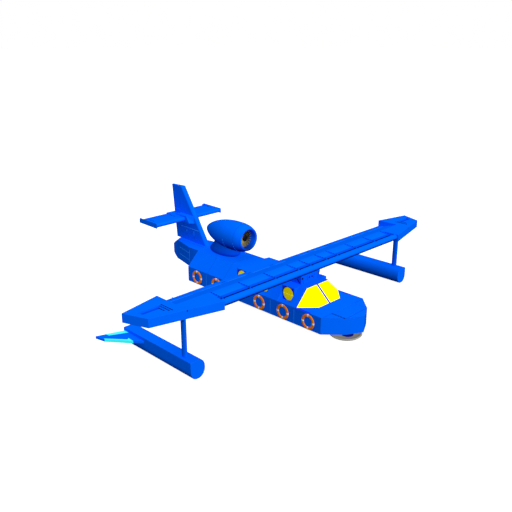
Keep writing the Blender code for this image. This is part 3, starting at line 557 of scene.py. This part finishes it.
def fin_cheeks():
    """Wider front of the fairing where the stabilizer meets the fin, with a swept face each side."""
    inner, outer = 0.10, 0.36
    top = ((inner, 4.32, 3.270), (outer, 4.689, 3.247), (outer, 5.25, 3.247), (inner, 5.45, 3.270))
    foot = ((inner, 4.22, 2.889), (outer, 4.470, 2.905), (outer, 4.72, 2.905), (inner, 4.90, 2.889))
    for side, s in SIDES:
        bm = bmesh.new()
        rings_to_faces(bm, [[(s * x, y, z) for x, y, z in row] for row in (foot, top)], closed=False)
        place("fin_cheek_" + side, bm, BLUE)


def tail_seams():
    """Slot rows and an upright seam on the tail's sides, seams and short marks on the fin."""
    half = TAIL[1].x
    narrow = (half - TAIL_REAR_HALF) / (TAIL_REAR_Y - TAIL_FRONT_Y)
    light, dark = [], []
    for s in BOTH:
        out = Vector((s, narrow, 0)).normalized()
        for z in (1.505, 1.13):
            for stretch in dashes(4.05, 5.22, 5, on=0.06, off=0.90):
                ends = [(s * (half - narrow * (y - TAIL_FRONT_Y)), y, z) for y in stretch]
                light.append((*ends, out))
        light.append(((s * half, TAIL_FRONT_Y, 1.02), (s * half, TAIL_FRONT_Y, 1.68), out))
        face = (s, -FIN_SLOPE_Y, -FIN_SLOPE_Z)
        light.append((on_fin(s, 5.46, 2.54), on_fin(s, 3.99, 2.55), face))
        for y, top, foot in ((4.99, 2.43, 2.29), (4.40, 2.447, 2.20)):
            light.append((on_fin(s, y, top), on_fin(s, y, foot), face))
            for high, low in ((top + 0.10, top + 0.05), (foot - 0.07, foot - 0.12)):
                dark.append((on_fin(s, y, high), on_fin(s, y, low), face))
    # The slots and seams are lines of painted highlight.
    bars("tail_highlight_seams", BLUE_HIGHLIGHT, light, width=0.03, height=0.005)
    bars("fin_dark_marks", BLUE_DARK, dark, width=0.03, height=0.003)


def stabilizer_trim():
    """Thin end plates that stand a little above and below the stabilizer, and short gaps on its top."""
    low, high = STABILIZER
    # y and z of each corner, from the front edge up and aft
    outline = (
        (low.y + 0.012, low.z - 0.022),
        (low.y + 0.012, high.z - 0.02),
        (low.y + 0.05, high.z + 0.012),
        (high.y - 0.06, high.z + 0.03),
        (high.y - 0.035, high.z + 0.02),
        (high.y - 0.025, low.z - 0.005),
        (low.y + 0.04, low.z - 0.03),
    )
    bm = bmesh.new()
    for s in BOTH:
        faces_x = (s * (high.x - 0.03), s * (high.x + 0.004))
        rings_to_faces(bm, [[(x, y, z) for y, z in outline] for x in faces_x], closed=False)
    place("stabilizer_end_plates", bm, BLUE)
    gaps = []
    for s in BOTH:
        for x in (0.585, 1.90):
            gaps += [level_run((s * x, a), (s * x, b), high.z) for a, b in ((5.32, 5.46), (5.54, 5.70))]
    bars("stabilizer_marks", BLUE_DARK, gaps, width=0.04, height=0.003)


# Wing

# Stations of the straps over the tube, and y and z at the head and the foot of each
STRAP_X = (0.52, 1.28, 2.66, 4.06, 5.48)
STRAP_HEAD, STRAP_FOOT = (-3.09, 2.868), (-3.925, 2.849)

# The wing's crest, how far its rounded nose reaches ahead of it, and the tube at the nose
CREST_Y, NOSE_REACH = -3.05, 0.61
TUBE_RADIUS = 0.142

# y and z of the hinge lines, and of the marks on flaps and ailerons
HINGE_Y, HINGE_TOP = -2.285, 2.624
FLAP_MARK_Y, FLAP_TOP = -2.15, 2.600

# Outer front corner of the wing tip's top, in plan
TIP_CORNER = (8.50, -3.36)


def wing_long_strip(bm, centre, reach, stretch, proud, sunk, steps, index):
    """A thin sheet round part of an oval seen from the side, as long as the wing.

    centre is y and z, reach the oval's half length and half height, and stretch its two angles in degrees.
    """
    first, last = stretch
    end = WING[1].x - 0.002
    rows = []
    for x in (-end, end):
        inner, outer = [], []
        for i in range(steps + 1):
            angle = math.radians(first + (last - first) * i / steps)
            for rim, grow in ((inner, -sunk), (outer, proud)):
                y = centre[0] + (reach[0] + grow) * math.cos(angle)
                z = centre[1] + (reach[1] + grow) * math.sin(angle)
                rim.append((x, y, z))
        rows.append(outer + inner[::-1])
    rings_to_faces(bm, rows, closed=False, index=index)


def tube_shades():
    """Shade in the gap behind the tube, and along the tube's underside."""
    mats = (BLUE_SHADE, BLUE_DARK)
    nose_floor = TUBE[0].z
    nose, nose_reach = (CREST_Y, nose_floor), (NOSE_REACH, WING[1].z - nose_floor)
    bm = bmesh.new()
    wing_long_strip(bm, nose, nose_reach, (153, 145.5), proud=0.002, sunk=0.001, steps=4, index=1)
    wing_long_strip(bm, nose, nose_reach, (145.5, 133), proud=0.0015, sunk=0.001, steps=4, index=0)
    place("tube_gap_shade", bm, mats)
    tube, tube_reach = (TUBE[0].y + TUBE_RADIUS, TUBE[0].z + TUBE_RADIUS), (TUBE_RADIUS, TUBE_RADIUS)
    bm = bmesh.new()
    wing_long_strip(bm, tube, tube_reach, (184, 203), proud=0.0012, sunk=0.004, steps=6, index=0)
    wing_long_strip(bm, tube, tube_reach, (203, 262), proud=0.002, sunk=0.004, steps=6, index=1)
    place("tube_under_shade", bm, mats)


def hinge_marks():
    """Lines of painted highlight ahead of the flaps and ailerons, and dark marks on them."""
    stations = (0.28,) + STRAP_X[1:]
    stretches = [(a + 0.18, b - 0.18) for a, b in zip(stations, stations[1:])]
    stretches.append((5.66, 6.95))
    falling_aft = (0, 0.35, 0.93)
    light = []
    for s in BOTH:
        for stretch in stretches:
            ends = [(s * x, HINGE_Y, HINGE_TOP) for x in stretch]
            light.append((*ends, falling_aft))
    bars("hinge_highlight_lines", BLUE_HIGHLIGHT, light, width=0.024, height=0.005)
    for side, s in SIDES:
        for kind, marked_x in (("flap", (2.55, 1.20)), ("aileron", (3.985,))):
            marks = []
            for x in marked_x:
                ends = [(s * (x + half), FLAP_MARK_Y, FLAP_TOP) for half in (-0.09, 0.09)]
                marks.append((*ends, (0, 0.15, 1)))
            piece = f"{kind}_{side}"
            bars(f"{piece}_marks", BLUE_DARK, marks, width=0.03, height=0.003, body=f"{piece}_body")


def tip_marks():
    """Louvres and short marks on the wing tips."""
    low, high = TIP
    slope = (TIP_CORNER[1] - low.y) / (TIP_CORNER[0] - low.x)
    front_x = 7.08
    front_y = low.y + slope * (front_x - low.x)
    # x, rear and front end, and number of louvres in each row
    louvre_rows = ((7.46, -2.67, -3.39, 6), (7.57, -2.73, -3.33, 6), (7.70, -2.86, -3.21, 3))
    louvres, marks, front = [], [], []
    for s in BOTH:
        for x, rear, ahead, count in louvre_rows:
            stretches = dashes(rear, ahead, count, on=0.1, off=0.85)
            louvres += [level_run((s * x, a), (s * x, b), high.z) for a, b in stretches]
        marks.append(level_run((s * 6.78, -2.40), (s * 6.78, -2.52), high.z - 0.002))
        ends = [(s * front_x, front_y, z) for z in (2.86, 2.79)]
        front.append((*ends, (s * slope, -1, 0)))
    bars("tip_louvres", BLUE_DARK, louvres, width=0.055, height=0.004)
    bars("tip_top_marks", BLUE_SHADE, marks, width=0.03, height=0.004)
    bars("tip_front_marks", BLUE_DARK, front, width=0.03, height=0.003)


def wing_pylon_marks():
    """Slanting lines and dark knobs on the front of the pylon that carries the wing, and a dark band of
    painted shade on each side.
    """
    front_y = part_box("wing_pylon")[0].y
    # x at the head, z of head and foot
    lines = ((0.246, 2.169, 1.951), (0.522, 2.094, 1.875))
    knobs = ((0.553, 2.16, 2.08), (0.103, 2.10, 2.04))

    def slanting(table, lean):
        runs = []
        for s in BOTH:
            for x, head, foot in table:
                runs.append(((s * x, front_y, head), (s * (x - lean), front_y, foot), (0, -1, 0)))
        return runs

    bars("wing_pylon_lines", BLUE_SHADE, slanting(lines, 0.057), width=0.03, height=0.003)
    bars("wing_pylon_knobs", SPINNER, slanting(knobs, 0.03), width=0.075, height=0.02)
    # A dark band of painted shade on each side, near the front.
    seams = []
    for s in BOTH:
        seams.append(((s * 0.602, -3.095, 2.07), (s * 0.569, -3.245, 1.88), (s * 0.985, 0, -0.17)))
    bars("wing_pylon_side_shades", BLUE_DARK, seams, width=0.06, height=0.006)


def strap_marks():
    """A raised rail along each strap over the tube, with a row of dashes on it."""
    rise = 0.011
    rails, marks = [], []
    for s in BOTH:
        for x in STRAP_X:
            head, foot = (Vector((s * x, y, z)) for y, z in (STRAP_HEAD, STRAP_FOOT))
            rails.append((head, foot, UP))
            lift = Vector((0, 0, rise))
            marks += [(*dash, UP) for dash in dashes(head + lift, foot + lift, 6, on=0.1, off=0.75)]
    bars("strap_rails", BLUE, rails, width=0.036, height=rise)
    bars("strap_dashes", BLUE_DARK, marks, width=0.034, height=0.003)


def strut_bolts():
    """A dark bolt at the head of each float strut."""
    x, y, head, foot = 6.934, -3.24, 2.27, 2.20
    bolts = [((s * x, y, head), (s * x, y, foot), (s * 0.93, -0.35, 0)) for s in BOTH]
    bars("strut_bolts", SPINNER, bolts, width=0.05, height=0.01)


def tip_trough_floors():
    """Painted shade: a thin dark sheet on the floor of the trough in each wing tip."""
    top = TIP[1].z
    outline = ((8.488, -2.70), (8.412, -2.943), (7.737, -2.943), (7.57, -2.68))
    bm = bmesh.new()
    for s in BOTH:
        plate(bm, [(s * x, y) for x, y in outline], top - 0.071, top - 0.068)
    place("tip_trough_floors", bm, BLUE_SHADE)


def fin_stripes():
    """Cyan bands wrapped round the leading and trailing edges of each float fin."""
    lead = ((7.355, -0.555), (8.077, 0.358), (8.06, 0.44), (7.437, -0.281), (7.345, -0.214))
    trail = ((7.068, 0.197), (7.772, 0.521), (7.808, 0.728), (7.068, 0.478))
    proud = 0.0015
    for side, s in SIDES:
        low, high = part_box("float_fin_" + side)
        bm = bmesh.new()
        for outline in (lead, trail):
            plate(bm, [(s * x, y) for x, y in outline], low.z - proud, high.z + proud)
        place("fin_stripes_" + side, bm, CYAN)


# Engine


def shell_radius(y):
    """Radius of the nacelle's shell: full and rounded ahead of its crest, drawn out behind it."""
    crest_y, crest, ahead, behind = NACELLE[0].y + 0.98, 0.706, 1.15, 2.03
    fullness, draw = 2.9, 0.68
    if y < crest_y:
        return crest * (1 - ((crest_y - y) / ahead) ** fullness) ** (1 / fullness)
    return crest * (1 - ((y - crest_y) / behind) ** 2) ** draw


def nacelle():
    """Smooth turned shell with a thick rolled lip, a seam groove, a duct and a tail nozzle."""
    low, high = NACELLE
    axis = ((low.x + high.x) / 2, 0, ENGINE_Z)
    lip_y, lip_reach, throat, duct = low.y + 0.105, 0.07, 0.455, 0.466
    tail_y, nozzle = high.y + 0.09, 0.07
    seam_y, steps = low.y + 0.45, 128
    # Places of the shell's materials, in the order in which they are given to the piece
    paint, lining, groove = range(3)
    outside = []
    for i in range(steps + 1):
        y = lip_y + (tail_y - lip_y) * i / steps
        outside.append((shell_radius(y), y, paint))
    k = round(steps * (seam_y - lip_y) / (tail_y - lip_y))
    outside[k - 1] = (outside[k - 1][0], seam_y - 0.005, groove)
    outside[k] = (outside[k][0] - 0.003, seam_y, groove)
    outside[k + 1] = (outside[k + 1][0], seam_y + 0.005, paint)
    inside = [(nozzle, tail_y, lining), (0.30, tail_y - 0.44, lining), (duct, tail_y - 0.86, lining)]
    inside += [(duct, low.y + 0.62, paint), (duct, lip_y + 0.07, paint)]
    lip = [(throat, lip_y, paint)]
    middle, half = (outside[0][0] + throat) / 2, (outside[0][0] - throat) / 2
    for i in range(1, 16):
        angle = math.pi * i / 16
        lip.append((middle - half * math.cos(angle), lip_y - lip_reach * math.sin(angle), paint))
    bm = bmesh.new()
    lathe(bm, outside + inside + lip, axis, 96)
    mats = (NACELLE_BLUE, DUCT, BLUE_SHADE)
    place("nacelle_shell", bm, mats, replaces=("nacelle",), smooth=35)
    # Dashes of painted highlight round the shell, at the seam and further aft.
    runs = []
    # Station, and first and last angle away from the top
    for y, first, last in ((seam_y + 0.005, 100, 150), (low.y + 1.14, 95, 145)):
        for stretch in dashes(first, last, 4, on=0, off=0.6):
            for s in BOTH:
                ends = []
                for angle in map(math.radians, stretch):
                    out = Vector((s * math.sin(angle), 0, math.cos(angle)))
                    ends.append(Vector(axis) + out * (shell_radius(y) + 0.001) + Vector((0, y, 0)))
                runs.append((*ends, out))
    bars("nacelle_seam_dashes", BLUE_HIGHLIGHT, runs, width=0.026, height=0.006)


def engine_pylon():
    """Waisted foot of the nacelle: wide just above the roof, narrow where it enters the shell, with a band
    of painted contact shade round its bottom.
    """
    low, high = ENGINE_PYLON
    middle_y = (low.y + high.y) / 2
    # Height above the roof, half width and half length
    levels = (
        (0.0, 0.42, 0.80),
        (0.03, 0.47, 0.86),
        (0.07, 0.51, 0.92),
        (0.12, 0.53, 0.95),
        (0.19, 0.53, 0.935),
        (0.28, 0.50, 0.86),
        (0.43, 0.43, 0.72),
        (0.60, 0.37, 0.61),
        (high.z - low.z, 0.34, 0.56),
    )
    bm = bmesh.new()
    rows = [level_oval(half_x, half_y, middle_y, low.z + rise, 64) for rise, half_x, half_y in levels]
    rings_to_faces(bm, rows, closed=False)
    # Painted contact shade: faces just above the roof take the dark blue.
    contact_shade_top = low.z + 0.05
    for face in bm.faces:
        if face.calc_center_median().z < contact_shade_top:
            face.material_index = 1
    place("engine_pylon_fairing", bm, (PYLON_SHADED_BLUE, BLUE_DARK), replaces=("engine_pylon",), smooth=50)


def fan():
    """Pointed spinner and twenty twisted blades with rounded tips, ahead of a dark disc."""
    low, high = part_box("fan")
    joint = next(j for j in frame["joints"] if j["name"] == "fan_spin")
    centre = Vector(joint["pos_m"])
    radius, hub, shaft, disc_gap = (high.z - low.z) / 2 + 0.01, 0.165, 0.06, 0.02
    nose = low.y - centre.y + 0.01
    base, disc, end = nose + 0.08, nose + 0.15, high.y - centre.y
    blade, dark = 0, 1
    profile = []
    for i in range(17):
        angle = i / 16 * math.pi / 2
        y = base - (base - nose) * math.cos(angle)
        profile.append((max(0.002, hub * math.sin(angle) ** 0.8), y, dark))
    profile += [(hub, disc, dark), (radius - disc_gap, disc, dark), (radius - disc_gap, disc + 0.02, dark)]
    profile += [(shaft, disc + 0.022, dark), (shaft, end - 0.005, dark), (0.002, end, dark)]
    bm = bmesh.new()
    lathe(bm, profile, centre, 48)
    blades, steps = 20, 6
    root, tip = hub - 0.01, radius - 0.004
    root_pitch, twist = 28, 30
    root_chord, root_thickness = 0.105, 0.012
    # Shares of the chord and the thickness, round the blade's section
    section = ((-0.5, 0), (-0.30, 0.8), (0.1, 1.0), (0.5, 0), (0.1, -0.15), (-0.3, -0.15))
    for k in range(blades):
        turn = Matrix.Rotation(math.tau * (k + 0.5) / blades, 3, "Y")
        rows = []
        for step in range(steps + 1):
            t = step / steps
            pitch = math.radians(root_pitch + twist * t)
            chord = root_chord * (1 - 0.10 * t) * (1 if step < steps else 0.6)
            thick = root_thickness * (1 - 0.6 * t)
            row = []
            for u, v in section:
                along = chord * u
                off = thick * v + 0.10 * chord * (0.25 - u * u)
                x = along * math.sin(pitch) + off * math.cos(pitch)
                y = along * math.cos(pitch) - off * math.sin(pitch)
                row.append(turn @ Vector((x, y + base, root + (tip - root) * t)) + centre)
            rows.append(row)
        rings_to_faces(bm, rows, closed=False, index=blade)
    place("fan_rotor_fine", bm, (GOLD, SPINNER), body="fan_rotor", replaces=("fan",), smooth=35)


# Portholes

PANE_SIDES = 64


def pane_lens(name, s, face, back, centre, radius):
    """Domed pane."""
    edge, dome = face - s * 0.004, 0.008
    profile = [(back, radius * 0.999), (edge, radius * 0.999)]
    # Angles away from the dome's middle, in radians
    for angle in (1.35, 1.1, 0.8, 0.5, 0.2, 0.03):
        profile.append((edge + s * dome * math.cos(angle), radius * math.sin(angle)))
    bm = bmesh.new()
    rows = [side_circle(x, centre.y, centre.z, r, PANE_SIDES) for x, r in profile]
    rings_to_faces(bm, rows, closed=False)
    place(f"{name}_lens", bm, PORTHOLE, replaces=(name,), smooth=30)


def pane_rim(name, s, face, centre, radius):
    """Rolled dark rim."""
    reach, roll_y, roll_x, count = 0.016, 0.02, 0.012, 8
    rows = []
    for i in range(PANE_SIDES):
        turn = math.tau * i / PANE_SIDES
        row = []
        for j in range(count):
            angle = math.tau * j / count
            r = radius + reach + roll_y * math.cos(angle)
            x = face + s * (0.010 + roll_x * math.sin(angle))
            row.append((x, centre.y + r * math.cos(turn), centre.z + r * math.sin(turn)))
        rows.append(row)
    bm = bmesh.new()
    rings_to_faces(bm, rows)
    place(name, bm, BLUE_DARK, smooth=40)


def pane_recess_shade(name, s, face, centre, radius):
    """Square plate with a round hole, as painted shade in the housing round the pane."""
    half, low, high = 0.302, 0.010, 0.0145
    rows = []
    for i in range(PANE_SIDES):
        turn = math.tau * (i + 0.5) / PANE_SIDES
        y, z = math.cos(turn), math.sin(turn)
        hole = radius + 0.005
        edge = max(half / max(abs(y), abs(z)), radius + 0.012)
        section = ((hole, low), (edge, low), (edge, high), (hole, high))
        rows.append([(face + s * out, centre.y + r * y, centre.z + r * z) for r, out in section])
    bm = bmesh.new()
    rings_to_faces(bm, rows)
    place(name, bm, VIOLET, smooth=40)


def portholes():
    """Domed panes with a rolled dark rim, a violet plate of painted shade round each pane and painted
    glints in each housing.
    """
    for side, s in SIDES:
        for index in (1, 2, 3):
            pane = f"porthole_pane_{side}_{index}"
            low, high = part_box(pane)
            centre = (low + high) / 2
            radius = (high.z - low.z) / 2
            face, back = (high.x, low.x) if s > 0 else (low.x, high.x)
            pane_lens(pane, s, face, back, centre, radius)
            pane_rim(f"porthole_rim_{side}_{index}", s, face, centre, radius)
            pane_recess_shade(f"porthole_recess_{side}_{index}", s, face, centre, radius)
            glints = []
            for stretch in ((0.27, 0.22), (0.12, 0.03), (-0.03, -0.07), (-0.16, -0.24)):
                ends = [(face + s * 0.002, centre.y + y, centre.z - 0.012) for y in stretch]
                glints.append((*ends, (s, 0, 0)))
            bars(f"porthole_glints_{side}_{index}", GLINT, glints, width=0.04, height=0.004)


# Stage

# Distance and height in metres, lens and sensor in millimetres
CAMERA_AZIMUTH, CAMERA_ELEVATION = math.radians(-44.902), math.radians(19.381)
CAMERA_DISTANCE, CAMERA_HEIGHT = 29.223, 2.177
LENS, SENSOR = 43.85, 36

FLOOR_REACH, FLOOR_GREY, FLOOR_GLOW, FLOOR_BOUNCE = 600, 0.8, 0.5, 0.035
DOME_STRENGTH, SUN_STRENGTH, SUN_SPREAD = 0.54, 2.76, math.radians(40)
SUN_FROM = (-0.17, -0.66, 0.56)


def camera():
    """The photograph's viewpoint, solved from the object's own corners."""
    level = math.cos(CAMERA_ELEVATION)
    x, y = math.sin(CAMERA_AZIMUTH) * level, -math.cos(CAMERA_AZIMUTH) * level
    back = Vector((x, y, math.sin(CAMERA_ELEVATION)))
    data = bpy.data.cameras.new("camera")
    data.sensor_width = SENSOR
    data.lens = LENS
    data.clip_end = 2000
    obj = bpy.data.objects.new("camera", data)
    bpy.context.scene.collection.objects.link(obj)
    obj.location = Vector((0, 0, CAMERA_HEIGHT)) + back * CAMERA_DISTANCE
    obj.rotation_euler = (-back).to_track_quat("-Z", "Y").to_euler()
    bpy.context.scene.camera = obj


def lit_for_camera(tree, seen, other):
    """Mixes two shaders: one as the camera sees it, one for the light that it gives the object."""
    path = tree.nodes.new("ShaderNodeLightPath")
    mix = tree.nodes.new("ShaderNodeMixShader")
    tree.links.new(path.outputs["Is Camera Ray"], mix.inputs["Fac"])
    tree.links.new(other.outputs[0], mix.inputs[1])
    tree.links.new(seen.outputs[0], mix.inputs[2])
    return mix


def floor():
    """A wide pale floor, white for the camera with a faint contact shadow, darker for its own bounce."""
    bm = bmesh.new()
    bmesh.ops.create_grid(bm, x_segments=1, y_segments=1, size=FLOOR_REACH)
    mesh = bpy.data.meshes.new("floor")
    bm.to_mesh(mesh)
    bm.free()
    obj = bpy.data.objects.new("floor", mesh)
    obj.location.z = CAD_BOX[0].z - 0.001
    bpy.context.scene.collection.objects.link(obj)
    mat = bpy.data.materials.new("pale floor")
    mat.use_nodes = True
    tree = mat.node_tree
    pale = tree.nodes["Principled BSDF"]
    pale.inputs["Base Color"].default_value = (FLOOR_GREY, FLOOR_GREY, FLOOR_GREY, 1)
    pale.inputs["Roughness"].default_value = 0.9
    pale.inputs["Specular IOR Level"].default_value = 0.0
    pale.inputs["Emission Color"].default_value = (1, 1, 1, 1)
    pale.inputs["Emission Strength"].default_value = FLOOR_GLOW
    dim = node(tree, "ShaderNodeBsdfDiffuse")
    dim.inputs["Color"].default_value = (FLOOR_BOUNCE, FLOOR_BOUNCE, FLOOR_BOUNCE, 1)
    mix = lit_for_camera(tree, pale, dim)
    tree.links.new(mix.outputs[0], tree.nodes["Material Output"].inputs["Surface"])
    mesh.materials.append(mat)


def lights():
    """An even white dome with one soft sun from ahead and above."""
    world = bpy.data.worlds.new("studio")
    bpy.context.scene.world = world
    world.use_nodes = True
    tree = world.node_tree
    dome = tree.nodes["Background"]
    dome.inputs["Color"].default_value = (1, 1, 1, 1)
    dome.inputs["Strength"].default_value = DOME_STRENGTH
    white = node(tree, "ShaderNodeBackground")
    white.inputs["Color"].default_value = (1, 1, 1, 1)
    mix = lit_for_camera(tree, white, dome)
    tree.links.new(mix.outputs[0], tree.nodes["World Output"].inputs["Surface"])
    key = bpy.data.lights.new("key", "SUN")
    key.energy = SUN_STRENGTH
    key.angle = SUN_SPREAD
    key.use_shadow = False
    obj = bpy.data.objects.new("key", key)
    bpy.context.scene.collection.objects.link(obj)
    obj.rotation_euler = Vector(SUN_FROM).to_track_quat("Z", "Y").to_euler()
    bpy.context.scene.view_settings.view_transform = "Standard"


FINISH_OF = {
    "bow_skid_dish": BEIGE,
    "bow_skid_post": NAVY,
    "engine_core": STEEL,
    "windscreen_pane_port": SCREEN,
    "windscreen_pane_starboard": SCREEN,
}


def main():
    for name in NODES:
        dress(name, FINISH_OF.get(name, BLUE))
    life_rings()
    hull_seams()
    deck_seams()
    windscreen_trim()
    bow_skid()
    fin_cheeks()
    tail_seams()
    stabilizer_trim()
    tube_shades()
    hinge_marks()
    tip_marks()
    wing_pylon_marks()
    strap_marks()
    strut_bolts()
    tip_trough_floors()
    fin_stripes()
    nacelle()
    engine_pylon()
    fan()
    portholes()
    camera()
    floor()
    lights()


main()
